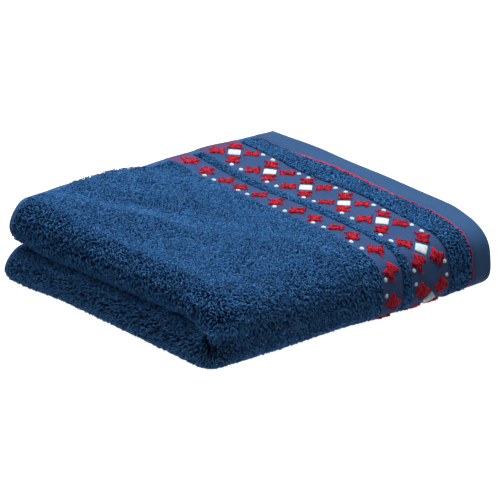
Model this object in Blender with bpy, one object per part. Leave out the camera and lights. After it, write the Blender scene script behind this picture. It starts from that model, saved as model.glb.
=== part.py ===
"""A hand towel of blue terry, folded into a pile of eight layers.

The towel is one sheet.  It is folded hem to hem, then in half again, which gives a stack of four
layers with both hems at one end and two round folds ("noses") at the other.  That stack is then
folded across its width, so that the outermost layer wraps the front of the pile.

The sheet is worked out as a section along its length (legs and round folds, in the plane of x and
the height above the stack's inner face), which is then bent round the front, and last made uneven.

Frame: metres, +Z up, origin under the middle of the pile.  +X runs from the noses to the hems, and
-Y is the wrapped front.  The selvedges lie along the back, at +Y.
"""
import math

import bpy
import numpy as np

MM = 0.001

# The cut towel.
TOWEL_WIDTH = 500 * MM

# The cloth's own thicknesses, loops included.
TERRY = 5.5 * MM
NARROW_TERRY = 4.8 * MM
FLAT_BAND = 2.6 * MM
HEM = 3.2 * MM
SELVEDGE = 2.6 * MM

# Air left between the layers.
LAYER_GAP = 1.8 * MM
FOLD_GAP = 1.6 * MM           # between the two faces that the width fold brings together

# The stripes beside each hem, measured in from the hem's edge: where each ends, and its thickness.
#    name                 ends at      thickness
STRIPES = (
    ("turned hem",         18.0 * MM,  HEM),
    ("terry by the hem",   40.0 * MM,  NARROW_TERRY),
    ("wide flat band",     78.0 * MM,  FLAT_BAND),
    ("terry between",      86.5 * MM,  NARROW_TERRY),
    ("narrow flat band",  107.0 * MM,  FLAT_BAND),
    ("body",              500.0 * MM,  TERRY),
)
STRIPE_STEP = 1.5 * MM        # half the length over which one stripe's thickness becomes the next's

# Where the folds along the length stand, measured from the pile's left end.
PILE_LENGTH = 256 * MM        # the upper hem's edge
LOWER_HEM_END = 254 * MM      # the edge of the hem that lies under it
MIDDLE_FOLD = 249 * MM        # centre of the towel's middle fold, at the hems' end
OUTER_NOSE = 17 * MM          # centre of the outer nose
INNER_NOSE = 29 * MM          # centre of the inner nose, which stops short of the outer one

# The stack springs open towards the noses, and settles towards the hems.
#    name              height      full at      gone at
LOFTS = (
    ("open noses",     3.8 * MM,    20 * MM,    180 * MM),
    ("thin stripes",  -2.2 * MM,   255 * MM,    140 * MM),
)

# How squarely the front is wrapped, above and below its middle: 2 is a half circle.
WRAP_POWER_TOP = 2.2
WRAP_POWER_BOTTOM = 2.0

# The selvedges fan out a little at the back, less beside the noses, whose ends draw in.
FAN = 0.42                    # share of the difference in path that the selvedges show
FAN_FROM = 25 * MM
FAN_TO = 110 * MM
NOSE_DRAWN_IN = 6 * MM
NOSE_DRAWN_IN_TO = 34 * MM

# The pile isn't quite square.
SKEW = 0.050                  # shift towards the noses' end for each metre of depth
NOSE_LEAN = 3.5 * MM          # how much further out the lower nose reaches than the upper one
LEAN_TO = 120 * MM
HEM_END_FROM = 180 * MM       # the two rows below move only the hems' end, from here on
#    name                     towards -x   full at y    gone at y
HEM_DRAWN_IN = (
    ("back corner",            3.5 * MM,   208 * MM,    150 * MM),
    ("round the front",        4.5 * MM,   -14 * MM,     24 * MM),
)

# Long shallow waves over the whole pile, which grow with height above the surface.
#    height      along x      along y      phase
WAVES = (
    (0.6 * MM,   95 * MM,     150 * MM,    0.4),
    (0.5 * MM,   61 * MM,    -118 * MM,    2.1),
    (0.4 * MM,   47 * MM,      83 * MM,    4.4),
)

# Swells and hollows of the top, each a long soft oval: its centre, its reach along and across its
# own line, that line's heading from +X in degrees, and its height.
#    name                         x           y           along       across     heading  height
SWELLS = (
    ("front shoulder rolls off",  128 * MM,    -6 * MM,   900 * MM,   25 * MM,     0,     -4.6 * MM),
    ("ridge behind the nose",      46 * MM,   136 * MM,    62 * MM,   12 * MM,   -74,      2.4 * MM),
    ("hollow beside the nose",     25 * MM,    92 * MM,    50 * MM,   10 * MM,   -76,     -1.6 * MM),
    ("drop at the selvedge",      100 * MM,   203 * MM,    36 * MM,   18 * MM,     0,     -2.2 * MM),
    ("hollow in the middle",       82 * MM,   128 * MM,    34 * MM,   15 * MM,   -55,     -1.3 * MM),
    ("swell in the middle",       124 * MM,   120 * MM,    34 * MM,   22 * MM,   -60,      1.2 * MM),
    ("swell near the front",       92 * MM,    42 * MM,    36 * MM,   26 * MM,   -20,      1.2 * MM),
    ("hollow before the stripes", 142 * MM,    62 * MM,    40 * MM,   14 * MM,   -80,     -0.9 * MM),
    ("nose sinks at the selvedge", 36 * MM,   214 * MM,    26 * MM,   22 * MM,     0,     -4.0 * MM),
    ("band sags at the selvedge", 158 * MM,   216 * MM,    22 * MM,   26 * MM,     0,     -2.2 * MM),
)
SWELL_TOP = 60 * MM           # height at which the waves and swells have their full size
SWELL_POWER = 1.5             # how quickly they fade below it

# The lip that the wrap makes over the lower nose at the front corner: its edge, from the end of the
# crease between the noses down to the floor.
#     x           y            z
LIP = (
    (8.0 * MM,     9 * MM,    34 * MM),
    (2.5 * MM,    -3 * MM,    37 * MM),
    (0.5 * MM,   -13 * MM,    38 * MM),
    (0.8 * MM,   -20 * MM,    35 * MM),
    (0.8 * MM,   -21 * MM,    29 * MM),
    (1.5 * MM,   -21 * MM,    23 * MM),
    (3.5 * MM,   -22 * MM,    16 * MM),
)
LIP_OUT = 2.2 * MM            # the wrap's side stands out, and the lower nose's side sinks in
LIP_IN = 4.5 * MM
LIP_EDGE = 3.0 * MM           # the way over which one turns into the other
LIP_REACH_OUT = 8.0 * MM
LIP_REACH_IN = 7.0 * MM
LIP_GROWS = 0.25              # shares of the edge's length by which it has grown, and from which
LIP_FADES = 0.8               # it fades
INWARD = (0.62, 0.78, 0.0)    # the way into the pile at the front corner
OUT_OF_THE_CORNER = (-0.57, -0.72, 0.40)

# Dents at the front corner.
#    name                        x          y           z           depth       reach
DENTS = (
    ("end of the crease",        6 * MM,   13 * MM,    33 * MM,    7.0 * MM,   7.0 * MM),
    ("end of the lip",           2 * MM,  -22 * MM,    20 * MM,    6.0 * MM,   4.0 * MM),
)

# Where the pile is pushed or drawn by some millimetres along x, y and z.  For each of x, y and z, a
# push is full between the first two numbers and gone the third one beyond them, in millimetres.
#    name                        moved by           within x         within y          within z
PUSHES = (
    ("foot of the lower nose",   (-4.5, 0, 0),      (-20, 10, 70),   (190, 230, 50),   (-5, 4, 22)),
    ("front corner drawn in",    (2.0, 2.5, 0),     (-20, 10, 60),   (-40, -24, 30),   (-5, 4, 28)),
    ("crease low at the back",   (0, 0, -4.5),      (-20, 25, 90),   (175, 230, 80),   (32, 32, 32)),
    ("crease high in front",     (0, 0, 2.0),       (-20, 25, 90),   (30, 60, 50),     (32, 32, 32)),
    ("crease high at the corner", (0, 0, 4.0),      (-20, 10, 50),   (-30, 0, 30),     (35, 37, 28)),
    ("upper nose sags",          (0, 0, -4.6),      (-20, 12, 25),   (-10, 150, 70),   (41, 45, 9)),
    ("lower nose swells",        (0, 0, 4.4),       (-20, 12, 25),   (-10, 150, 70),   (22, 26, 9)),
    ("back corner of the nose",  (3.0, 0, 0),       (-20, 6, 40),    (200, 230, 30),   (58, 80, 14)),
    ("stripes bulge at the foot", (0, -4.5, 0),     (165, 270, 50),  (-60, -8, 26),    (-5, 6, 22)),
)

# Mesh steps.
LEG_STEP = 16 * MM
OUTER_NOSE_STEPS = 9
INNER_FOLD_STEPS = 6
WRAP_STEPS = 10
BACK_STEPS = (0.0, 0.19, 0.38, 0.57, 0.76, 0.95, 1.0)   # shares of the way from wrap to selvedge

COLOUR = (0.030, 0.085, 0.230, 1.0)
ROUGHNESS = 0.95


def ease(value, start, end):
    """0 at start and 1 at end, smooth in between; start may be the larger."""
    share = np.clip((np.asarray(value, float) - start) / (end - start), 0.0, 1.0)
    return share * share * (3.0 - 2.0 * share)


def sheet_thickness(from_hem):
    """Thickness of the sheet at a distance from the nearer hem."""
    from_hem = np.asarray(from_hem, float)
    thickness = np.full(from_hem.shape, STRIPES[0][2])
    for (_, end, _), (_, _, following) in zip(STRIPES, STRIPES[1:]):
        share = ease(from_hem, end - STRIPE_STEP, end + STRIPE_STEP)
        thickness = thickness * (1.0 - share) + following * share
    return thickness


def layer_middles(x):
    """Heights of the middles of the stack's four layers above its inner face."""
    x = np.asarray(x, float)
    rise = sum(height * ease(x, gone, full) for _, height, full, gone in LOFTS)
    pitch = TERRY + LAYER_GAP
    first = np.full(x.shape, TERRY / 2)
    return first, first + pitch, first + 2 * pitch + 0.5 * rise, first + 3 * pitch + rise


def stack_height(x):
    """Height of the stack of four layers at a place along the pile."""
    return layer_middles(x)[3] + TERRY / 2


def stations(start, end, striped):
    """Places along a leg from start to end, closer where one stripe meets the next."""
    count = max(2, round(abs(end - start) / LEG_STEP))
    places = list(np.linspace(start, end, count + 1))
    if striped:
        low, high = min(start, end), max(start, end)
        edges = [PILE_LENGTH - stop + side * STRIPE_STEP for _, stop, _ in STRIPES for side in (-1, 1)]
        edges = [edge for edge in edges if low < edge < high]
        ends = (start, end)
        places = [at for at in places if at in ends or min(abs(at - edge) for edge in edges) > LEG_STEP / 3]
        places += edges
    return sorted(places, reverse=end < start)


def leg(level, start, end, face, striped=False):
    """Section rows of one straight layer.

    A row is x, height, the outward direction in x and in height, the thickness, and how much
    further out the cloth lies where it rests on the surface.
    """
    rows = []
    for x in stations(start, end, striped):
        thickness = float(sheet_thickness(PILE_LENGTH - x)) if striped else TERRY
        settled = (TERRY - thickness) / 2 if level == 3 else 0.0
        rows.append((x, float(layer_middles(x)[level]), 0.0, face, thickness, settled))
    return rows


def turn(centre, levels, steps, side, rising, face, reach=None):
    """Section rows of one round fold between two layers, without its two ends.

    side is 1 where the fold bulges to +x, and face is 1 where the sheet's outward face is outside.
    """
    low, high = (float(layer_middles(centre)[level]) for level in levels)
    radius = (high - low) / 2
    reach = reach or radius
    rows = []
    for step in range(1, steps):
        angle = math.pi * (step / steps - 0.5) * (1 if rising else -1)
        normal = np.array((side * math.cos(angle) / reach, math.sin(angle) / radius))
        normal *= face / np.linalg.norm(normal)
        x = centre + side * reach * math.cos(angle)
        height = (low + high) / 2 + radius * math.sin(angle)
        rows.append((x, height, normal[0], normal[1], TERRY, 0.0))
    return rows


def section():
    """The sheet's whole path, from the upper hem to the lower one."""
    rows = leg(3, PILE_LENGTH, OUTER_NOSE, 1, striped=True)
    rows += turn(OUTER_NOSE, (0, 3), OUTER_NOSE_STEPS, -1, False, 1, reach=OUTER_NOSE - TERRY / 2)
    rows += leg(0, OUTER_NOSE, MIDDLE_FOLD, -1)
    rows += turn(MIDDLE_FOLD, (0, 1), INNER_FOLD_STEPS, 1, True, 1)
    rows += leg(1, MIDDLE_FOLD, INNER_NOSE, 1)
    rows += turn(INNER_NOSE, (1, 2), INNER_FOLD_STEPS, -1, True, -1)
    rows += leg(2, INNER_NOSE, LOWER_HEM_END, -1, striped=True)
    return np.array(rows)


def columns():
    """Places across the width, as a turn round the front and a share of the way to the selvedge.

    The turn is 0 on the pile's upper half, 1 on its lower half, and in between round the front.
    """
    places = [(0.0, share) for share in reversed(BACK_STEPS)]
    places += [(step / WRAP_STEPS, 0.0) for step in range(1, WRAP_STEPS)]
    places += [(1.0, share) for share in BACK_STEPS]
    return np.array(places)


def selvedge_reach(x, radius):
    """Distance from the front fold's axis back to the selvedge, for a layer bent at a radius."""
    outermost = float(layer_middles(PILE_LENGTH / 2)[3]) + FOLD_GAP / 2
    straight = TOWEL_WIDTH / 2 - math.pi / 2 * outermost
    fanned = FAN * ease(x, FAN_FROM, FAN_TO) * math.pi / 2 * (outermost - radius)
    return straight + fanned - NOSE_DRAWN_IN * ease(x, NOSE_DRAWN_IN_TO, 0.0)


def signed_power(value, power):
    """A power that keeps its base's sign."""
    return np.sign(value) * np.abs(value) ** power


def bend(x, height, middle, turned, share, settled):
    """Carry points of the section round the front: a grid of rows by columns."""
    centre_height = stack_height(x) + FOLD_GAP / 2
    radius = FOLD_GAP / 2 + height + settled * ease(turned, 0.55, 1.0)
    angle = math.pi * turned
    power = np.where(turned < 0.5, WRAP_POWER_TOP, WRAP_POWER_BOTTOM)
    forward = np.abs(np.sin(angle)) ** (2 / power)
    forward = np.where((turned == 0.0) | (turned == 1.0), 0.0, forward)
    upward = signed_power(np.cos(angle), 2 / power)
    y = share * selvedge_reach(x, FOLD_GAP / 2 + middle) - radius * forward
    return np.stack(np.broadcast_arrays(x, y, centre_height + radius * upward), axis=-1)


def swell_height(x, y):
    """Height of the waves and swells over a place in the pile's plan."""
    total = sum(height * np.sin(2 * math.pi * (x / along_x + y / along_y) + phase)
                for height, along_x, along_y, phase in WAVES)
    for _, centre_x, centre_y, along, across, heading, height in SWELLS:
        cosine, sine = math.cos(math.radians(heading)), math.sin(math.radians(heading))
        forward = (x - centre_x) * cosine + (y - centre_y) * sine
        sideways = (y - centre_y) * cosine - (x - centre_x) * sine
        total = total + height * np.exp(-(forward / along) ** 2 - (sideways / across) ** 2)
    return total


def beside_line(points, line):
    """Distance to a line of straight stretches, and the share of the way along it.

    The distance is negative on the lower nose's side.
    """
    nearest = np.full(points.shape[:-1], np.inf)
    signed = np.full(points.shape[:-1], np.inf)
    way = np.zeros(points.shape[:-1])
    passed = 0.0
    for start, end in zip(np.array(line), np.array(line[1:])):
        stretch = end - start
        share = np.clip((points - start) @ stretch / (stretch @ stretch), 0.0, 1.0)
        away = points - start - share[..., None] * stretch
        distance = np.linalg.norm(away, axis=-1)
        side = np.sign(away @ np.cross(OUT_OF_THE_CORNER, stretch))
        nearer = distance < nearest
        nearest = np.where(nearer, distance, nearest)
        signed = np.where(nearer, distance * side, signed)
        way = np.where(nearer, passed + share * np.linalg.norm(stretch), way)
        passed += np.linalg.norm(stretch)
    return signed, way / passed


def lip(points):
    """How far the front corner is drawn inward beside the lip's edge."""
    past, share = beside_line(points, LIP)
    wrapped = ease(past, 0.0, LIP_EDGE)
    drawn = LIP_IN * (1 - wrapped) * np.exp(-(past / LIP_REACH_IN) ** 2)
    drawn -= LIP_OUT * wrapped * np.exp(-(past / LIP_REACH_OUT) ** 2)
    drawn *= ease(share, 0.0, LIP_GROWS) * ease(share, 1.0, LIP_FADES)
    for _, x, y, z, depth, reach in DENTS:
        drawn += depth * np.exp(-np.sum((points - (x, y, z)) ** 2, axis=-1) / reach ** 2)
    return drawn


def within(value, start, end, reach):
    """1 between start and end, and fading to 0 over a reach beyond them; sizes in millimetres."""
    value = value / MM
    return ease(value, start - reach, start) * ease(value, end + reach, end)


def uneven(points):
    """The pile's unevenness, as soft shifts that keep the layers in their order."""
    x, y, z = points[..., 0], points[..., 1], points[..., 2]
    moved = points.copy()
    moved[..., 0] -= SKEW * y
    for _, drawn_in, full, gone in HEM_DRAWN_IN:
        moved[..., 0] -= drawn_in * ease(y, gone, full) * ease(x, HEM_END_FROM, PILE_LENGTH)
    moved[..., 0] += NOSE_LEAN * (z / SWELL_TOP - 0.5) * ease(x, LEAN_TO, 0.0)
    moved[..., 2] += swell_height(x, y) * np.clip(z / SWELL_TOP, 0.0, 1.0) ** SWELL_POWER
    for _, move, within_x, within_y, within_z in PUSHES:
        full = within(x, *within_x) * within(y, *within_y) * within(z, *within_z)
        moved += full[..., None] * np.array(move) * MM
    return moved + lip(points)[..., None] * np.array(INWARD)


def face_points(rows, across, side):
    """One face of the folded sheet as a grid of points: side is 1 for the outward face."""
    x, height, normal_x, normal_height, thickness, settled = (rows[:, k, None] for k in range(6))
    turned, share = across[None, :, 0], across[None, :, 1]
    half = np.where(share == 1.0, np.minimum(thickness, SELVEDGE), thickness) / 2
    return uneven(bend(x + side * half * normal_x, height + side * half * normal_height,
                       height, turned, share, settled))


def sheet_faces(count_i, count_j):
    """Faces of the closed sheet: its two sides, and the rim between them."""
    second = count_i * count_j
    faces = []
    for i in range(count_i - 1):
        for j in range(count_j - 1):
            here = i * count_j + j
            corners = (here, here + count_j, here + count_j + 1, here + 1)
            faces.append(corners)
            faces.append(tuple(second + corner for corner in reversed(corners)))
    rim = [(i, 0) for i in range(count_i)]
    rim += [(count_i - 1, j) for j in range(1, count_j)]
    rim += [(i, count_j - 1) for i in range(count_i - 2, -1, -1)]
    rim += [(0, j) for j in range(count_j - 2, 0, -1)]
    numbers = [i * count_j + j for i, j in rim]
    for a, b in zip(numbers, numbers[1:] + numbers[:1]):
        faces.append((second + a, second + b, b, a))
    return faces


def terry_material():
    """Plain blue cloth."""
    material = bpy.data.materials.new("terry")
    material.use_nodes = True
    shader = material.node_tree.nodes["Principled BSDF"]
    shader.inputs["Base Color"].default_value = COLOUR
    shader.inputs["Roughness"].default_value = ROUGHNESS
    shader.inputs["Metallic"].default_value = 0.0
    return material


def make_towel():
    """The folded towel, with its origin under its middle."""
    rows, across = section(), columns()
    points = np.concatenate([face_points(rows, across, side).reshape(-1, 3) for side in (1, -1)])
    low, high = points.min(axis=0), points.max(axis=0)
    points -= ((low[0] + high[0]) / 2, (low[1] + high[1]) / 2, low[2])
    mesh = bpy.data.meshes.new("towel")
    mesh.from_pydata(points.tolist(), [], sheet_faces(len(rows), len(across)))
    mesh.shade_smooth()
    mesh.materials.append(terry_material())
    towel = bpy.data.objects.new("towel", mesh)
    bpy.context.scene.collection.objects.link(towel)
    return towel


def main():
    for item in list(bpy.data.objects):
        bpy.data.objects.remove(item, do_unlink=True)
    make_towel()


main()
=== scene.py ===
"""The looks of a folded hand towel of blue terry with flat woven bands beside its hems.

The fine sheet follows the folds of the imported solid.  It is worked out from two coordinates of the
cloth: the way along it from the upper hem's edge, and the way across it from the middle of the
front fold (positive on the pile's upper half).  Loops, motifs and lines are placed by the same two.

Frame: metres, +Z up.  +X runs from the round folds ("noses") to the hems, -Y is the wrapped front.
"""
import math

import bpy
import numpy as np
from mathutils import Matrix, Vector

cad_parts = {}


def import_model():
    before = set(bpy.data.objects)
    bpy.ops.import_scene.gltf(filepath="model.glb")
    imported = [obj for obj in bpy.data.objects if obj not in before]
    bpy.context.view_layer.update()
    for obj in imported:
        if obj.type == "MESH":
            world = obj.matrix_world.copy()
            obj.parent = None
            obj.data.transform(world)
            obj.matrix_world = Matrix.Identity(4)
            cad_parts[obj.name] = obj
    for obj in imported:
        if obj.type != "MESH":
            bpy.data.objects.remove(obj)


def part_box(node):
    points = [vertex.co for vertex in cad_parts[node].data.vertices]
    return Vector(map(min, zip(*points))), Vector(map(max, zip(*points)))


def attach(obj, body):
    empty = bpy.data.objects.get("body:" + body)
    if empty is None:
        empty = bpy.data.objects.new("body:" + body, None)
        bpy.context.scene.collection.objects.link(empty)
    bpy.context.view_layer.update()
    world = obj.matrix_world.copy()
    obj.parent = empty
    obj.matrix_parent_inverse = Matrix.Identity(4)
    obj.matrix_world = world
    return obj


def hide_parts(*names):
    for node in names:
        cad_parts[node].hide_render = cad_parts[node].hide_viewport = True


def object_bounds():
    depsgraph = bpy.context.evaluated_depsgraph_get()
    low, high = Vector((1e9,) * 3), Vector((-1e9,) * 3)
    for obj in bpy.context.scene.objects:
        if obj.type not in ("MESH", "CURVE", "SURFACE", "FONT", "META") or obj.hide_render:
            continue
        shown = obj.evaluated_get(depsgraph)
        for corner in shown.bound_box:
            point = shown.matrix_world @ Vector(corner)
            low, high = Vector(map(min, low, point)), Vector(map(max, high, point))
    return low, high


MM = 0.001

# ---- The folded sheet, as in the solid ----

TOWEL_WIDTH = 500 * MM
HALF_WIDTH = TOWEL_WIDTH / 2

TERRY = 5.5 * MM
NARROW_TERRY = 4.8 * MM
FLAT_BAND = 2.6 * MM
HEM = 3.2 * MM
SELVEDGE = 2.6 * MM
LAYER_GAP = 1.8 * MM
FOLD_GAP = 1.6 * MM

# The stripes beside each hem, measured in from the hem's edge: where each ends, and its thickness.
#    name                 ends at      thickness
STRIPES = (
    ("turned hem",         18.0 * MM,  HEM),
    ("terry by the hem",   40.0 * MM,  NARROW_TERRY),
    ("wide flat band",     78.0 * MM,  FLAT_BAND),
    ("terry between",      86.5 * MM,  NARROW_TERRY),
    ("narrow flat band",  107.0 * MM,  FLAT_BAND),
    ("body",              500.0 * MM,  TERRY),
)
STRIPE_STEP = 1.5 * MM

PILE_LENGTH = 256 * MM
LOWER_HEM_END = 254 * MM
MIDDLE_FOLD = 249 * MM
OUTER_NOSE = 17 * MM
INNER_NOSE = 29 * MM
OUTER_TURN_STEPS = 22  # mesh steps round a fold
INNER_TURN_STEPS = 8
BETWEEN_LAYERS = 1.5  # given as the layer of a fold, which is in none

#    name              height      full at      gone at
LOFTS = (
    ("open noses",     3.8 * MM,    20 * MM,    180 * MM),
    ("thin stripes",  -2.2 * MM,   255 * MM,    140 * MM),
)

WRAP_POWER_TOP = 2.2  # 2 is round, and more is boxier
WRAP_POWER_BOTTOM = 2.0
SETTLES_FROM = 0.55  # share of the way round the front from which thin stripes lie lower

FAN = 0.42  # inner layers end further back by this share of their shorter way round
FAN_FROM = 25 * MM
FAN_TO = 110 * MM
NOSE_DRAWN_IN = 6 * MM
NOSE_DRAWN_IN_TO = 34 * MM

SKEW = 0.050
NOSE_LEAN = 3.5 * MM
LEAN_TO = 120 * MM
HEM_END_FROM = 180 * MM
#    name                     towards -x   full at y    gone at y
HEM_DRAWN_IN = (
    ("back corner",            3.5 * MM,   208 * MM,    150 * MM),
    ("round the front",        4.5 * MM,   -14 * MM,     24 * MM),
)

# The top's waves, in millimetres.
#    height  along x  along y  phase
WAVES = (
    (0.6,     95,      150,     0.4),
    (0.5,     61,     -118,     2.1),
    (0.4,     47,       83,     4.4),
)

# Swells and hollows of the top: each one's centre, its reach along and across its own line, that
# line's heading from +X in degrees, and its height.  Sizes in millimetres.
#    name                          x     y     along  across  heading  height
SWELLS = (
    ("front shoulder rolls off",   128,   -6,  900,   25,       0,     -4.6),
    ("ridge behind the nose",       46,  136,   62,   12,     -74,      3.0),
    ("hollow beside the nose",      25,   92,   50,   10,     -76,     -1.6),
    ("drop at the selvedge",       100,  203,   36,   18,       0,     -0.8),
    ("hollow in the middle",        82,  128,   34,   15,     -55,     -2.3),
    ("swell in the middle",        124,  120,   34,   22,     -60,      1.8),
    ("swell near the front",        92,   42,   36,   26,     -20,      1.2),
    ("hollow before the stripes",  142,   62,   40,   14,     -80,     -0.9),
    ("nose sinks at the selvedge",  36,  214,   26,   22,       0,     -4.0),
    ("band sags at the selvedge",  158,  216,   22,   26,       0,     -0.6),
    ("edge of the wide band",      202,  222,   26,   20,       0,      3.4),
    ("hem over the shoulder",      256,   -2,   40,   24,       0,      3.0),
)
SWELL_TOP = 60 * MM
SWELL_POWER = 1.5

# The lip that the wrap makes over the lower nose at the front corner: its edge, from the end of the
# crease between the noses down to the floor, in millimetres.
#     x     y    z
LIP = (
    (8.0,   9,  34),
    (2.5,  -3,  37),
    (0.5, -13,  38),
    (0.8, -20,  35),
    (0.8, -21,  29),
    (1.5, -21,  23),
    (3.5, -22,  16),
)
LIP_OUT = 4.0 * MM  # the wrap's side stands out, and the lower nose's side sinks in
LIP_IN = 10.5 * MM
LIP_EDGE = 3.0 * MM  # the way over which one turns into the other
LIP_REACH_OUT = 8.0 * MM
LIP_REACH_IN = 7.0 * MM
LIP_GROWS = 0.10  # shares of the edge's length by which it has grown, and from which
LIP_FADES = 0.8  # it fades
INWARD = (0.62, 0.78, 0.0)  # the way into the pile at the front corner
OUT_OF_THE_CORNER = (-0.57, -0.72, 0.40)

# Dents at the front corner.
#    name                        x          y           z           depth       reach
DENTS = (
    ("end of the crease",        6 * MM,   13 * MM,    33 * MM,   10.0 * MM,   7.0 * MM),
    ("end of the lip",           2 * MM,  -22 * MM,    20 * MM,    8.0 * MM,   4.5 * MM),
)

# Where the pile is pushed or drawn by some millimetres along x, y and z.  For each of x, y and z, a
# push is full between the first two numbers and gone the third one beyond them, in millimetres.
#    name                         moved by      within x        within y        within z
PUSHES = (
    ("foot of the lower nose",    (-4.5, 0, 0), (-20, 10, 70),  (190, 230, 50), (-5, 4, 22)),
    ("front corner drawn in",     (2, 2.5, 0),  (-20, 10, 60),  (-40, -24, 30), (-5, 4, 28)),
    ("crease low at the back",    (0, 0, -4.5), (-20, 25, 90),  (175, 230, 80), (32, 32, 32)),
    ("crease high in front",      (0, 0, 2),    (-20, 25, 90),  (30, 60, 50),   (32, 32, 32)),
    ("crease high at the corner", (0, 0, 4),    (-20, 10, 50),  (-30, 0, 30),   (35, 37, 28)),
    ("upper nose sags",           (0, 0, -4.6), (-20, 12, 25),  (-10, 150, 70), (41, 45, 9)),
    ("lower nose swells",         (0, 0, 4.4),  (-20, 12, 25),  (-10, 150, 70), (22, 26, 9)),
    ("back corner of the nose",   (3, 0, 0),    (-20, 6, 40),   (200, 230, 30), (58, 80, 14)),
    ("stripes bulge at the foot", (0, -4.5, 0), (165, 270, 50), (-60, -8, 26),  (-5, 6, 22)),
)

# ---- The fine surface ----

FINE_STEP = 2.6 * MM  # mesh steps along the outer layer and the nose
COARSE_STEP = 7.0 * MM  # and along the layers inside
ACROSS_STEP = 2.7 * MM
EDGE_ROUND = 1.5 * MM  # how far in from its edges the sheet rounds off
EDGE_STEPS = (0.0, 0.15, 0.45, 1.0)  # shares of EDGE_ROUND
EDGE_CLEAR = 1.3 * EDGE_ROUND  # the even steps keep this far from the edges
EDGE_LEAST = 0.12  # share of the thickness left at the very edge
BOX_COLUMNS = 120  # places across at which the whole cloth's box is measured
SHEET_TILE = (0.98, 0.48)  # size of each face in the bake map, and where the two are
SHEET_TILE_PLACES = ((0.01, 0.01), (0.01, 0.51))

GROUND = 0.9 * MM  # half the thickness of the woven ground, which the loops stand on
PRESSED = 2.3 * MM  # half the thickness of terry that is pressed between layers
SIDE_OF_BAND = 11.0 * MM  # beside each selvedge the bands show loose ends of their red yarn
SOFT_STEP = 2 * MM  # ways over which one thickness gives way to another
GROUND_FADE = 6 * MM
HEM_SHOWS = 1 * MM  # the hem's weave shows this far past its end
NOSE_FROM = 238 * MM  # the way along at which the outer nose begins
LOOPS_END = 292 * MM  # and that from which the terry lies pressed inside the pile
CREASE_FROM = 264 * MM  # the loops get shorter between these, where the noses meet
CREASE_TO = 277 * MM
CREASE_SHORTER = 0.7  # share of their height that they lose
CREASE_BARE = 282 * MM  # and past this there are none
LOOPS_DOWN_TO = -70 * MM  # the way across at which the loops on the front end, under the pile

# The woven strip without loops beside each selvedge.  It is all but gone where loops of the layer
# beneath stand out past it, and widest on the pile's top beside the nose.
# Along, and the width there, in millimetres.
TAPE_WIDTHS = (
    (128, 134, 192, 203, 236, 250, 290, 300),
    (  5,   1,   1, 7.5,   7, 4.2, 4.2,   5),
)

LOOP_SPACING = 1.58 * MM
LOOP_SPAN = 0.66 * MM  # half the distance between a loop's two feet
YARN = 0.41 * MM  # radius of the loop's yarn
LOOP_SIDES = 3
ROW_SPACING = 0.87  # distance between rows, as a share of that in a row
SCATTER = 0.38  # share of the spacing by which a place strays
DRIFT_WAVES = 6
DRIFT_LENGTHS = (0.7, 1.5)  # shares of a drift's reach
OVERHUNG = (0.1, -0.6)  # a side's upward share where it begins to overhang, and wholly does

# Which way the loops lean: towards the front with the nap, down the slopes, and unevenly.
NAP = 0.7
GRAVITY = 0.9
SWIRL = 0.35
SWIRL_REACH = 26 * MM
LEAN_FLAT = 0.7 * MM
LEAN_STEEP = 0.9 * MM
LEAN_OVERHUNG = 0.8  # share of the lean that is lost on an overhanging side
LEAN_SHARES = (0.3, 1.5)  # least and most
STRAY = 0.3 * MM  # spread of the lean to either side

# How uneven the loops are otherwise: their headings, heights, spans, twists and thicknesses.
HEADING_FLAT = 1.1  # spread in radians
HEADING_STEEP = -0.35  # added on a slope
HEIGHT_DRIFT = 0.25 * MM
HEIGHT_DRIFT_REACH = 5 * MM
HEIGHTS = (-0.7, 0.45)  # least and most, in millimetres
HEIGHTS_FLAT = 0.7  # share of them on the flat
HEIGHTS_STEEP = 0.6  # added on a slope
SPANS = (0.75, 1.4)
TWIST = 0.45
THICKNESSES = (0.85, 1.15)

# A loop's path.  tip is 0 at its foot and 1 at its tip; the yarn's painted shade is darkest where it is 0.
#    across   height   lean    twist   tip    place in its bake tile
LOOP = (
    (-1.00,   0.15,    0.0,    0.0,    0.0,   0.10),
    (-0.85,   0.88,    0.8,    1.0,    0.9,   0.37),
    (0.85,    1.00,    1.0,   -1.0,    1.0,   0.63),
    (1.00,    0.15,    0.0,    0.0,    0.0,   0.90),
)
LOOP_SIDE_PLACES = (0.1, 0.5, 0.9)

# ---- The woven border ----

REPEATS = 12
REPEAT = TOWEL_WIDTH / REPEATS
DIAMOND_AT = 59.0 * MM  # from the hem's edge
DIAMOND_HALF = 6.8 * MM  # half a diagonal
BOW_OFFSET = 9.2 * MM  # from the diamond's centre, along and across
BOW_LENGTH = 10.6 * MM
BOW_WAIST = 3.4 * MM  # half widths
BOW_END = 5.9 * MM
BOW_POWER = 1.2  # how late it widens
DOT_OFFSET = 15.3 * MM
DOT_RADIUS = 1.8 * MM
DOT_BLUNT = 0.2  # share of its width left at its ends
CHEVRON_AT = 96.5 * MM  # the bow-ties in the narrow band
CHEVRON_OFFSET = 9.5 * MM
CHEVRON_DOT_AT = 103.0 * MM
BOW_LOOP_SPACING = 1.5 * MM
RED_LINE_AT = 19.0 * MM
# Across, and half its width there, in millimetres.
RED_LINE_HALVES = (
    (-250, -40,  55,   62,  86,   94, 204,  210,  250),
    (0.35, 0.4, 0.7, 0.35, 0.4, 1.15, 1.2, 0.05, 0.05),
)
RED_LINE_STEPS = 420
RED_LINE_COLUMNS = 5
EDGE_MARGIN = 1 * MM  # the red yarn keeps this far from the selvedge
RED_LINE_RISE = 0.35 * MM
RED_LINE_SUNK = 0.05 * MM
#     amount        pitch
RED_LINE_WAVES = {
    "width":       (0.3,         7.3 * MM),
    "way":         (0.3 * MM,   17.0 * MM),
    "height":      (0.12 * MM,   2.4 * MM),
}

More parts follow.
